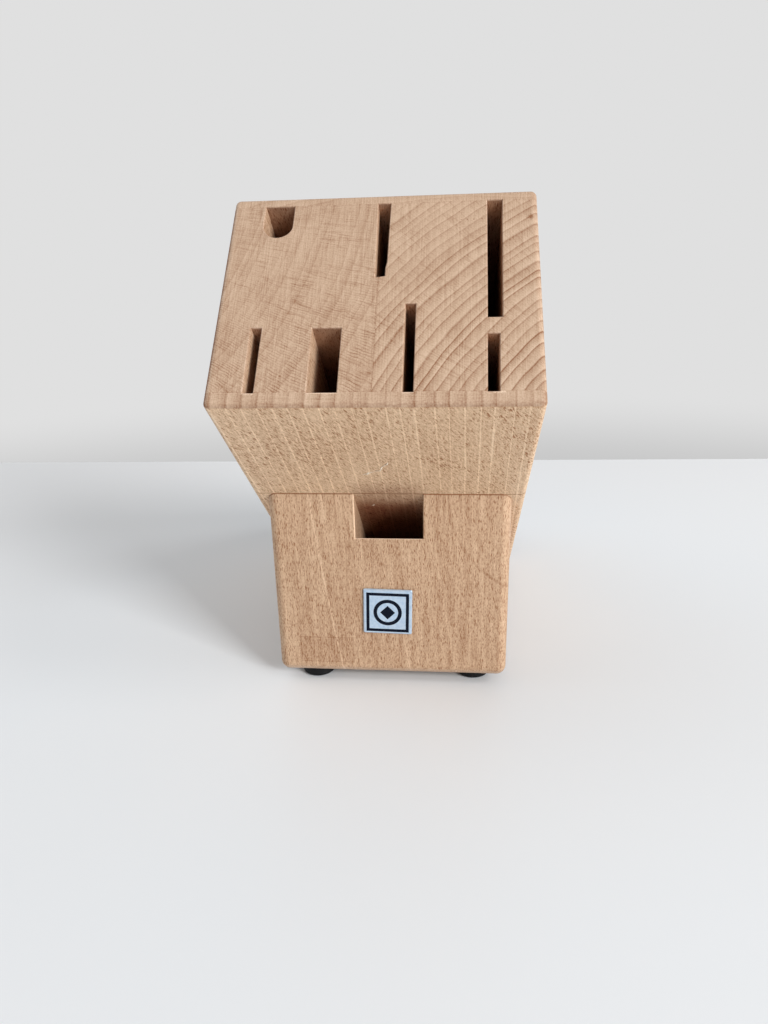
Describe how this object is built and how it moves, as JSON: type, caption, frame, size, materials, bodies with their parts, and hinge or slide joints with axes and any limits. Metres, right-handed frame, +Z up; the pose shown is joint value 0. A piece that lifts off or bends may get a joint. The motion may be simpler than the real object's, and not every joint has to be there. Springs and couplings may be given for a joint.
{
  "type": "knife block",
  "caption": "Slanted beech knife block, empty, with blade slots and a steel hole in its raised end, on a narrower wedge foot with a shears slot, a plain badge plate and rubber feet.",
  "frame": {"origin": "on the ground, under the middle of the block's bounding box", "axes": "+X to the right seen from the badge side, +Y from the slotted front to the back, +Z up"},
  "size_m": [0.12, 0.249, 0.2159],
  "materials": {
    "block_beech": "natural steamed beech, finely sanded, thin satin oil",
    "foot_beech": "natural steamed beech, slightly redder, satin oil",
    "dowel_beech": "raw fluteless beech dowel",
    "badge_metal": "satin, faintly blue, with a pale rim",
    "badge_enamel": "dark blue-black enamel",
    "adhesive_pad": "dark foam tape",
    "black_rubber": "matte black",
    "screw_steel": "zinc plated"
  },
  "bodies": {
    "root": {"front_cover_board": "block_beech", "back_cover_board": "block_beech", "core_left": "block_beech", "core_right": "block_beech", "foot_block": "foot_beech", "joint_dowel_left": "dowel_beech", "joint_dowel_right": "dowel_beech", "rubber_foot_front_left": "black_rubber", "foot_screw_front_left": "screw_steel", "rubber_foot_front_right": "black_rubber", "foot_screw_front_right": "screw_steel", "rubber_foot_rear_left": "black_rubber", "foot_screw_rear_left": "screw_steel", "rubber_foot_rear_right": "black_rubber", "foot_screw_rear_right": "screw_steel", "badge_plate": "badge_metal", "badge_enamel": "badge_enamel", "badge_adhesive_pad": "adhesive_pad"}
  },
  "joints": []
}
